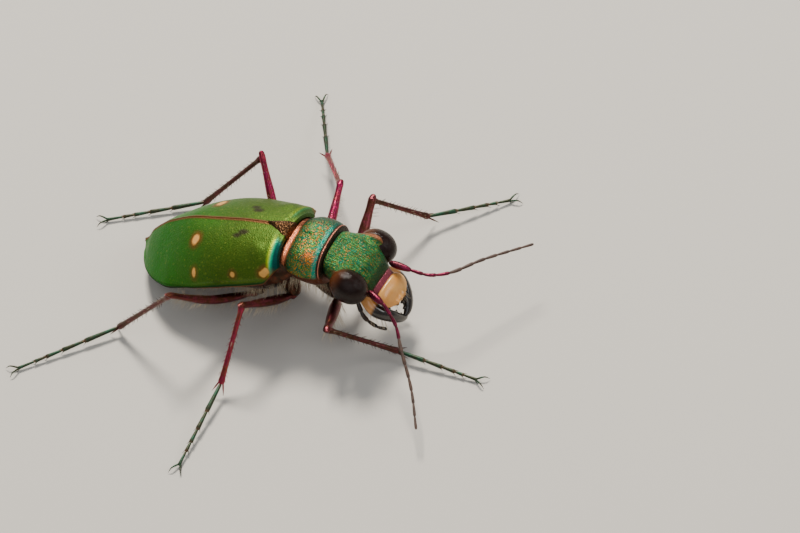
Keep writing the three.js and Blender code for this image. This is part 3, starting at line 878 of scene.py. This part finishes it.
def prothorax():
    """A shell with a collar at each end, a fine line along its middle and a rail along each side."""
    piece = drawn_out("prothorax_shell", PROTHORAX_PLACES, PROTHORAX_SECTION, 48, fullness=2.3)
    subdivided(piece, 2)

    def shape(point):
        if point.z > 0.2:
            point.z -= MIDLINE_DEPTH * bump(point.y, 0, 0.1) * bump(point.x, 0.4, 0.75)
        elif abs(point.y) > 0.8:
            rail = bump(point.z, -0.25, 0.08) * bump(point.x, 0.4, 0.95)
            point.y += math.copysign(RAIL_HEIGHT * rail, point.y)
        return point

    sculpt(piece, shape)
    return finish(piece, PROTHORAX, THORAX_SHELL, ["prothorax"])


def head():
    """A broad flat crown between raised eye rims, with the brow falling to the lip's base."""
    piece = drawn_out("head_capsule", eased(HEAD_BACK, HEAD_FRONT, 26), HEAD_SECTION, 48, fullness=2.9)
    subdivided(piece, 2)

    def shape(point):
        shelf = min(1, max(0, (point.z - 0.12) / 0.35)) * bump(point.x, 1.0, 1.15)
        point.y *= 1 + CROWN_SPREAD * shelf
        across = abs(point.y)
        if point.z > 0.1:
            height = EYE_RIM_HEIGHTS["right" if point.y < 0 else "left"]
            point.z += height * bump(across, 1.3, 0.38) * bump(point.x, 1.25, 0.95)
            point.z -= CROWN_HOLLOW * bump(across, 0.7, 0.4) * bump(point.x, 1.1, 0.7)
        if point.x > 1.9:
            point.z -= LIP_SEAM_DEPTH * bump(point.x, 2.02, 0.06)
        return point

    sculpt(piece, shape)
    return finish(piece, HEAD, HEAD_SHELL, ["head"])


def eye(name, side):
    """A ball drawn out a little at the back and flattened a little on top, beside the crown's rim."""
    piece = started(
        f"eye_{name}_ball", bpy.ops.mesh.primitive_uv_sphere_add, segments=48, ring_count=28, radius=1,
    )
    centre = mirrored(EYE_PLACE, side) + (RIGHT_EYE_SHIFT if side < 0 else Vector())

    def shape(point):
        stretch = 1 + EYE_REAR_STRETCH * max(0, -point.x) - EYE_TOP_FLATTENING * bump(point.z, 1, 0.5)
        return Vector([p * r for p, r in zip(point, EYE_RADII)]) * stretch + centre

    sculpt(piece, shape)
    return finish(piece, HEAD, EYE, [f"eye_{name}"])


# Mouth and antennae

LIP_START = HEAD_LENGTH + 0.06
LIP_LENGTH = 0.88
LIP_END = LIP_START + LIP_LENGTH
LIP_SECTION = section_of(
    profile([
        (LIP_START, 0.6), (LIP_START + 0.1, 0.74), (LIP_START + 0.42, 0.86), (LIP_START + 0.72, 0.74),
        (LIP_END, 0.46),
    ]),
    profile([(LIP_START, -0.16), (LIP_START + 0.12, -0.06), (LIP_START + 0.4, -0.14), (LIP_END, -0.5)]),
    profile([(LIP_START, -0.5), (LIP_END, -0.68)]),
)
LIP_TOOTH = 0.07
LIP_TOOTH_GAP = 0.26
MANDIBLE_PATH = [
    (1.7, 0.75, -0.66), (2.42, 0.96, -0.88), (3.04, 0.66, -1.16), (3.44, 0.22, -1.5), (3.52, -0.3, -1.72),
]
MANDIBLE_RADIUS = profile([(0, 0.27), (0.35, 0.29), (0.65, 0.24), (0.85, 0.15), (1, 0.03)])
# How far the left tip is lifted above the end of its path, and the right one lowered below its own
MANDIBLE_CROSSING = 0.12
# Share along the mandible and size of each tooth
MANDIBLE_TEETH = ((0.42, 0.6), (0.54, 0.54), (0.66, 0.44), (0.78, 0.32))
PALPS = {
    "maxillary": [(1.55, 0.86, -1.15), (2.1, 1.12, -1.55), (2.7, 1.05, -1.85), (3.1, 0.8, -2.05)],
    "labial": [(1.5, 0.36, -1.1), (2.0, 0.38, -1.55), (2.55, 0.45, -1.75), (2.95, 0.42, -1.9)],
}
PALP_JOINTS = {"maxillary": 4, "labial": 3}
# From the root of the first joint, which ends at the second point, to the tip
ANTENNAE = {
    "left": [
        (1.95, 0.82, 0.06), (2.9, 0.88, 0.27), (3.02, 0.89, 0.31), (3.73, 1.03, 0.46), (4.45, 1.66, 0.55),
        (5.23, 2.94, 0.59), (6.58, 4.81, 0.57),
    ],
    "right": [
        (1.95, -0.88, 0.03), (2.74, -1.17, 0.2), (2.86, -1.21, 0.22), (3.7, -1.68, 0.06),
        (4.4, -2.41, -0.11), (5.67, -3.65, -0.42), (6.75, -5.06, -0.6),
    ],
}
SCAPE_RADII = [0.08, 0.13, 0.155, 0.165, 0.165, 0.155, 0.14, 0.12, 0.08]
BRIGHT_JOINTS, DULL_JOINTS = 3, 7
JOINT_STEPS = 8
ANTENNA_RADII = {"root": 0.085, "middle": 0.08, "tip": 0.06}


def labrum():
    """A broad pale lip with three small teeth on its front edge."""
    piece = drawn_out("labrum_plate", eased(LIP_START, LIP_END, 12), LIP_SECTION, 36, fullness=2.3)
    subdivided(piece, 2)

    def teeth(point):
        tooth = max(bump(abs(point.y), place, 0.1) for place in (0, LIP_TOOTH_GAP))
        point.x += LIP_TOOTH * bump(point.x, LIP_END, 0.16) * tooth
        return point

    sculpt(piece, teeth)
    return finish(piece, HEAD, UPPER_LIP, ["labrum"])


def mandible(name, side):
    """A sickle with a pale root and four teeth along its inner edge, the left one over the right."""
    path = smooth_path([mirrored(point, side) for point in MANDIBLE_PATH], 30)
    shares = [i / 29 for i in range(30)]
    path = [point + Vector((0, 0, MANDIBLE_CROSSING * side * t ** 2)) for point, t in zip(path, shares)]
    pieces = [limb("mandible", path, [MANDIBLE_RADIUS(t) for t in shares], 6)]
    for share, size in MANDIBLE_TEETH:
        root = path[int(29 * share)]
        tip = root + Vector((-0.35, -0.8 * side, 0.05 * side)) * size
        pieces.append(limb("tooth", [root, root.lerp(tip, 0.6), tip], [0.16, 0.11, 0.015], 3))
    piece = joined(f"mandible_{name}_jaw", pieces)
    return finish(piece, HEAD, JAW, [f"mandible_{name}"])


def jointed(name, points, segments, thick, thin):
    """A chain of joints along a path, each narrow at its root and widest near its end."""
    steps = JOINT_STEPS
    path = smooth_path(points, segments * steps + 1)
    swell = [0.62 + 0.38 * math.sin(0.5 * math.pi * (i / steps) ** 0.7) for i in range(steps + 1)]
    pieces = []
    for joint in range(segments):
        size = thick + (thin - thick) * joint / max(segments - 1, 1)
        radii = [size * share for share in swell]
        radii[-1] *= 0.75
        pieces.append(limb(name, path[joint * steps:(joint + 1) * steps + 1], radii, 5))
    return joined(name, pieces)


def palp(kind, name, side):
    points = [mirrored(point, side) for point in PALPS[kind]]
    piece = jointed(f"{kind}_palp_{name}_joints", points, PALP_JOINTS[kind], 0.11, 0.08)
    return finish(piece, HEAD, PALP, [f"{kind}_palp_{name}"])


def antenna(name):
    """A stout metallic first joint, three thinner ones, then seven dull ones."""
    points = ANTENNAE[name]
    scape = limb(f"antenna_scape_{name}_joint", smooth_path(points[:2], len(SCAPE_RADII)), SCAPE_RADII, 6)
    finish(scape, HEAD, ANTENNA_BASE, [f"antenna_scape_{name}"])
    whole = smooth_path(points[1:], (BRIGHT_JOINTS + DULL_JOINTS) * JOINT_STEPS + 1)
    bend = BRIGHT_JOINTS * JOINT_STEPS
    root, middle, tip = ANTENNA_RADII.values()
    base = jointed(f"antenna_{name}_base", whole[:bend + 1], BRIGHT_JOINTS, root, middle)
    finish(base, HEAD, ANTENNA_BASE, [f"antenna_{name}"])
    rest = jointed(f"antenna_{name}_whip", whole[bend:], DULL_JOINTS, root, tip)
    finish(rest, HEAD, ANTENNA, [f"antenna_{name}"])


# Legs. The radii are listed from the root of each piece to its end

COXA_RADII = {0: 0.5, 0.3: 0.46, 0.6: 0.4, 0.85: 0.33, 1.0: 0.25, 1.1: 0.08}
FEMUR_RADIUS = {"front": 0.25, "mid": 0.21, "hind": 0.2}
FEMUR_SHAPE = profile([
    (0, 0.6), (0.05, 0.85), (0.1, 0.6), (0.13, 0.7), (0.35, 1.0), (0.6, 0.92), (0.85, 0.68), (0.95, 0.72),
    (1, 0.5),
])
KNEE_LENGTH = 0.08
TIBIA_RADIUS = 0.11
TIBIA_SHAPE = profile([
    (0, 0.11), (0.05, 0.15), (0.12, 0.11), (0.5, 0.105), (0.9, 0.125), (0.97, 0.15), (1, 0.13),
])
TIBIA_LAP = 0.05
BRISTLES = 14
BRISTLE_LENGTH = 0.2
TARSUS_GAP = 0.03
# Share of the tarsus that each of its joints takes, and how each joint swells from its root to its end
TARSUS_JOINTS = (0.34, 0.22, 0.16, 0.11, 0.17)
TARSUS_SWELL = {0: 0.55, 0.1: 0.72, 0.4: 0.85, 0.75: 1.0, 0.93: 1.1, 1.0: 0.8}
CLAW_RADII = [0.042, 0.04, 0.038, 0.034, 0.028, 0.022, 0.014, 0.005]
# Legs whose femur or tibia takes the lit copy of its look, with painted light; the others take the shaded
# copy, with painted shade.
LIT_LEGS = {"femur": ("mid_left", "hind_left"), "tibia": ("mid_right", "mid_left")}


def coxa(name, pair, side, host):
    start, end = mirrored(COXA_ROOTS[pair], side), mirrored(HIPS[pair], side)
    piece = limb(f"coxa_{name}_cone", [start.lerp(end, t) for t in COXA_RADII], COXA_RADII.values(), 6)
    subdivided(piece, 1)
    return finish(piece, host, UNDERSIDE, [f"coxa_{name}"])


def bristle_row(length, angles, generator):
    """Short spines that stand off a shin along X, leaning towards its far end."""
    spines = []
    for angle in angles:
        for i in range(BRISTLES):
            x = length * (0.12 + 0.85 * (i + generator.uniform(0.1, 0.9)) / BRISTLES)
            turn = math.radians(angle + generator.uniform(-14, 14))
            out = Vector((0, math.cos(turn), math.sin(turn)))
            root = Vector((x, 0, 0)) + out * TIBIA_RADIUS * 0.7
            tip = root + (out * 0.75 + Vector((0.75, 0, 0))) * BRISTLE_LENGTH * generator.uniform(0.7, 1.1)
            spines.append(limb("spine", [root, tip], [0.016, 0.004], 1))
    return spines


def femur(name, pair, matrix):
    length, thick = LEGS[name]["femur"][0], FEMUR_RADIUS[pair]
    bends = [(0, 0, 0), (length / 2, 0, -FEMUR_SAG[pair]), (length, 0, 0), (length + KNEE_LENGTH, 0, 0)]
    path = smooth_path(bends, 40)
    shaft = limb(f"femur_{name}_shaft", path, [thick * FEMUR_SHAPE(i / 39) for i in range(40)], 6)
    # The listed legs get the lit copy, with painted light; the others the shaded copy, with painted shade.
    look = LIT_FEMUR if name in LIT_LEGS["femur"] else SHADED_FEMUR
    return finish(shaft, matrix, look, [f"femur_{name}"])


def tibia(name, matrix):
    """A slim shaft with two spurs at its end and four rows of bristles."""
    length = LEGS[name]["tibia"][0]
    path = [Vector((-TIBIA_LAP + (length + TIBIA_LAP) * i / 36, 0, 0)) for i in range(37)]
    pieces = [limb("tibia", path, [TIBIA_SHAPE(i / 36) for i in range(37)], 6)]
    for side in (1, -1):
        root, tip = Vector((length - 0.08, 0.08 * side, 0)), Vector((length + 0.45, 0.3 * side, 0.05))
        pieces.append(limb("spur", [root, root.lerp(tip, 0.5), tip], [0.04, 0.034, 0.006], 3))
    pieces += bristle_row(length, (60, 120, -60, -120), random.Random(name))
    piece = joined(f"tibia_{name}_shaft", pieces)
    # The listed legs get the lit copy, with painted light; the others the shaded copy, with painted shade.
    look = LIT_TIBIA if name in LIT_LEGS["tibia"] else SHADED_TIBIA
    return finish(piece, matrix, look, [f"tibia_{name}"])


def tarsus(name, matrix):
    """Five joints, each with two spines at its end, and two claws."""
    length = LEGS[name]["tarsus"][0]
    pieces, start, roots = [], TARSUS_GAP, []
    for number, share in enumerate(TARSUS_JOINTS):
        end = start + (length - TARSUS_GAP) * share
        path = [Vector((start + (end - start) * t, 0, 0)) for t in TARSUS_SWELL]
        size = 0.1 - 0.008 * number
        pieces.append(limb("joint", path, [size * swell for swell in TARSUS_SWELL.values()], 5))
        for y in (-0.07, 0.07):
            spine = [Vector((end - 0.06, y, -0.02)), Vector((end + 0.1, 2.2 * y, -0.06))]
            pieces.append(limb("spine", spine, [0.02, 0.005], 1))
        roots.append(start)
        start = end
    for side in (1, -1):
        hook = smooth_path([
            (length - 0.05, 0.03 * side, 0), (length + 0.25, 0.2 * side, 0.1),
            (length + 0.45, 0.3 * side, -0.04),
        ], len(CLAW_RADII))
        pieces.append(limb("claw", hook, CLAW_RADII, 3))
    piece = joined(f"tarsus_{name}_joints", pieces)
    note_rim(piece, lambda point: max(bump(point.x, root, 0.07) for root in roots))
    return finish(piece, matrix, TARSUS, [f"tarsus_{name}"])


# Hair: thin bent cones of mesh over the skin

HAIR_RADIUS = 0.008
HAIR_STEPS = 4
# Side of each hair's patch on the unwrap of the skin
PATCH = 0.003
# On both sides of the body: its section, the range along it and of the angles from the top, how many on
# each side, their length, how they lie, and the frame and slot they belong to
BODY_HAIR = {
    "thorax_side_hair": (
        PTEROTHORAX_SECTION, (-2.5, 0.3), (100, 142), 170, 0.45, (-0.2, 0, -0.35), TRUNK, "underside",
    ),
    "belly_side_hair": (
        ABDOMEN_SECTION, (-7.0, -2.7), (108, 150), 160, 0.3, (-0.7, 0, -0.2), TRUNK, "underside",
    ),
    "prothorax_side_hair": (
        PROTHORAX_SECTION, (-0.2, 1.3), (112, 150), 130, 0.5, (0.1, 0, -0.4), PROTHORAX, "thorax_shell",
    ),
    "cheek_hair": (HEAD_SECTION, (0.9, 1.9), (120, 150), 40, 0.35, (0.5, 0, -0.4), HEAD, "head_shell"),
}
# Angles, number and length of the fringes of a femur
FEMUR_FRINGES = {
    "front": ((-130, -50, 80, 0.62),),
    "mid": ((-120, -60, 90, 0.48), (60, 120, 22, 0.25)),
    "hind": ((-120, -60, 90, 0.48), (60, 120, 22, 0.25)),
}


def coat(name, hairs, matrix):
    """One mesh of hairs, each given by its root, direction, length, droop and place on the unwrap."""
    mesh = bpy.data.meshes.new(name)
    points, faces, patches = [], [], []
    for root, lie, length, droop, (u, v) in hairs:
        across = lie.cross(Vector((0.3, 0.5, 0.8))).normalized()
        other = lie.cross(across).normalized()
        first = len(points)
        for step in range(HAIR_STEPS):
            t = step / HAIR_STEPS
            centre = root + lie * length * t + droop * length * t * t
            thick = HAIR_RADIUS * (1 - 0.75 * t)
            for corner in range(3):
                angle = 2 * math.pi * corner / 3
                points.append(centre + (across * math.cos(angle) + other * math.sin(angle)) * thick)
                patches.append((u + PATCH * t, v + PATCH * corner / 3))
        points.append(root + lie * length + droop * length)
        patches.append((u + PATCH, v))
        for step in range(HAIR_STEPS - 1):
            for corner in range(3):
                a, b = first + 3 * step + corner, first + 3 * step + (corner + 1) % 3
                faces.append((a, b, b + 3, a + 3))
        last = first + 3 * (HAIR_STEPS - 1)
        faces += [(last + corner, last + (corner + 1) % 3, len(points) - 1) for corner in range(3)]
        faces.append((first + 2, first + 1, first))
    mesh.from_pydata(points, [], faces)
    unwrap = mesh.uv_layers.new(name="OFBake")
    for loop, patch in zip(mesh.loops, unwrap.data):
        patch.uv = patches[loop.vertex_index]
    piece = bpy.data.objects.new(name, mesh)
    bpy.context.collection.objects.link(piece)
    select(piece)
    closed_up()
    return finish(piece, matrix, HAIR, angle=60)


def side_hairs(section, places, angles, count, length, lie, generator):
    """Hairs on both sides of a body along X, at angles counted from the top."""
    hairs = []
    for side in SIDES.values():
        for _ in range(count):
            x, degrees = generator.uniform(*places), generator.uniform(*angles)
            half_width, top, bottom = section(x)
            angle = math.radians(degrees)
            centre, height = (top + bottom) / 2, (top - bottom) / 2
            root = Vector((x, side * half_width * math.sin(angle), centre + height * math.cos(angle)))
            out = Vector((0, side * math.sin(angle) / half_width, math.cos(angle) / height)).normalized()
            wild = Vector([generator.uniform(-0.3, 0.3) for _ in range(3)])
            way = (out + Vector(lie) + wild).normalized()
            unwrap = ((x + 8) / 12, 0.5 + side * degrees / 400)
            size = length * generator.uniform(0.6, 1.15)
            hairs.append((root - out * 0.03, way, size, Vector((-0.1, 0, -0.2)), unwrap))
    return hairs


def limb_hairs(start, end, radius, angles, count, length, lean, generator, sag=0.0):
    """Hairs along a shaft from start to end, at angles counted about it from its left side."""
    hairs = []
    axis = (end - start).normalized()
    left = Vector((0, 0, 1)).cross(axis).normalized()
    up = axis.cross(left)
    for _ in range(count):
        t, degrees = generator.uniform(0.0, 1.0), generator.uniform(*angles)
        angle = math.radians(degrees)
        out = left * math.cos(angle) + up * math.sin(angle)
        root = start.lerp(end, t) + out * radius * 0.85 - up * 4 * sag * t * (1 - t)
        wild = Vector([generator.uniform(-0.18, 0.18) for _ in range(3)])
        way = (out + axis * lean + wild).normalized()
        unwrap = (0.05 + 0.9 * t, (degrees % 360) / 360)
        hairs.append((root, way, length * generator.uniform(0.65, 1.1), Vector((0, 0, -0.12)), unwrap))
    return hairs


def leg_coats(name, generator):
    """Hair on the coxa, fringes along the femur and a few hairs on the tibia."""
    pair, side_name = name.split("_")
    side = SIDES[side_name]
    host = PROTHORAX if pair == "front" else TRUNK
    hip_frame, knee_frame, _ = leg_frames(name)
    root, hip = mirrored(COXA_ROOTS[pair], side), mirrored(HIPS[pair], side)
    outer = (-60, 60) if side > 0 else (120, 240)
    hairs = limb_hairs(root.lerp(hip, 0.2), hip, 0.36, outer, 70, 0.45, 0.6, generator)
    coat(f"coxa_{name}_hair", hairs, host)
    start, end = Vector((0.1, 0, 0)), Vector((LEGS[name]["femur"][0] * 0.93, 0, 0))
    hairs = []
    for low, high, count, size in FEMUR_FRINGES[pair]:
        radius, sag = FEMUR_RADIUS[pair], FEMUR_SAG[pair]
        hairs += limb_hairs(start, end, radius, (low, high), count, size, 0.45, generator, sag)
    coat(f"femur_{name}_hair", hairs, hip_frame)
    start, end = Vector((0.2, 0, 0)), Vector((LEGS[name]["tibia"][0] * 0.95, 0, 0))
    hairs = limb_hairs(start, end, TIBIA_RADIUS, (0, 360), 24, 0.2, 0.9, generator)
    coat(f"tibia_{name}_hair", hairs, knee_frame)


def mouth_bristles(generator):
    """Long bristles under the jaws and shorter ones under the lip."""
    bristles = []
    for side in SIDES.values():
        path = smooth_path([mirrored(point, side) for point in MANDIBLE_PATH], 21)
        for _ in range(14):
            t = generator.uniform(0.25, 0.55)
            root = path[int(20 * t)] + Vector((0, 0.2 * side, -0.15))
            forward, outward = generator.uniform(-0.2, 0.2), generator.uniform(-0.2, 0.2)
            way = Vector((0.5 + forward, 0.35 * side + outward, -0.8)).normalized()
            bristles.append((root, way, generator.uniform(0.5, 0.85), Vector((0.15, 0, 0.05)), (t, 0.3)))
        for _ in range(10):
            root = mirrored((2.9, generator.uniform(0.1, 0.5), -0.6), side)
            way = Vector((0.9, generator.uniform(-0.2, 0.2), -0.5)).normalized()
            bristles.append((root, way, generator.uniform(0.35, 0.6), Vector((0, 0, -0.2)), (0.8, 0.6)))
    coat("mouth_bristles", bristles, HEAD)


def coats():
    generator = random.Random(7)
    for name, (section, places, angles, count, length, lie, matrix, slot) in BODY_HAIR.items():
        hairs = side_hairs(section, places, angles, count, length, lie, generator)
        coat(name, hairs, matrix)
    for name in LEGS:
        leg_coats(name, generator)
    mouth_bristles(generator)


scutellum()
pterothorax()
abdomen()
prothorax()
head()
labrum()
for side_name, side in SIDES.items():
    elytron(side_name, side)
    eye(side_name, side)
    mandible(side_name, side)
    palp("maxillary", side_name, side)
    palp("labial", side_name, side)
    antenna(side_name)
for leg_name in LEGS:
    pair_name, side_name = leg_name.split("_")
    hip_frame, knee_frame, ankle_frame = leg_frames(leg_name)
    coxa(leg_name, pair_name, SIDES[side_name], PROTHORAX if pair_name == "front" else TRUNK)
    femur(leg_name, pair_name, hip_frame)
    tibia(leg_name, knee_frame)
    tarsus(leg_name, ankle_frame)
coats()


# Floor, lights and camera

def floor():
    clear_selection()
    bpy.ops.mesh.primitive_plane_add(size=3, location=(0, 0, 0))
    plane = bpy.context.object
    plane.name = "pale_floor"
    look = Look("pale_floor", roughness=0.8)
    tint = look.mix(look.noise(60.0, 3), (0.62, 0.58, 0.52), (0.66, 0.62, 0.56))
    plane.data.materials.append(look.finish(tint))


def light(name, azimuth, elevation, distance, size, power, colour=(1, 1, 1)):
    clear_selection()
    place = direction(azimuth, elevation) * distance
    bpy.ops.object.light_add(type="AREA", location=place)
    lamp = bpy.context.object
    lamp.name = name
    lamp.data.size = size
    lamp.data.energy = power
    lamp.data.color = colour
    lamp.rotation_euler = (-place).to_track_quat("-Z", "Y").to_euler()


def camera():
    azimuth, elevation = math.radians(CAMERA_AZIMUTH), math.radians(CAMERA_ELEVATION)
    roll = math.radians(CAMERA_ROLL)
    flat = math.cos(elevation)
    back = Vector((math.sin(azimuth) * flat, -math.cos(azimuth) * flat, math.sin(elevation)))
    level = Vector((math.cos(azimuth), math.sin(azimuth), 0))
    upright = back.cross(level)
    right = math.cos(roll) * level + math.sin(roll) * upright
    up = math.cos(roll) * upright - math.sin(roll) * level
    eye_point = back * CAMERA_DISTANCE
    target = (right * -ORIGIN_PIXEL[0] + up * ORIGIN_PIXEL[1]) / PIXELS_PER_MM
    axis = (eye_point - target).normalized()
    right = (right - axis * right.dot(axis)).normalized()
    up = axis.cross(right)
    matrix = Matrix((right, up, axis)).transposed().to_4x4()
    matrix.translation = TO_FRAME @ eye_point
    data = bpy.data.cameras.new("camera")
    data.sensor_width = SENSOR_WIDTH
    data.lens = PIXELS_PER_MM * CAMERA_DISTANCE / IMAGE_WIDTH * SENSOR_WIDTH
    data.clip_start = 0.01
    data.clip_end = 10
    view = bpy.data.objects.new("camera", data)
    bpy.context.collection.objects.link(view)
    view.matrix_world = matrix
    bpy.context.scene.camera = view


def world():
    scene_world = bpy.data.worlds.new("soft_room")
    bpy.context.scene.world = scene_world
    scene_world.use_nodes = True
    background = scene_world.node_tree.nodes["Background"]
    background.inputs["Color"].default_value = (0.9, 0.95, 1, 1)
    background.inputs["Strength"].default_value = 0.3


floor()
light("key", 118, 54, 0.3, 0.07, 1.35, (1, 0.95, 0.86))
light("fill", -60, 55, 0.4, 0.3, 0.35, (0.92, 0.96, 1))
light("front", 20, 35, 0.35, 0.12, 0.25)
camera()
world()
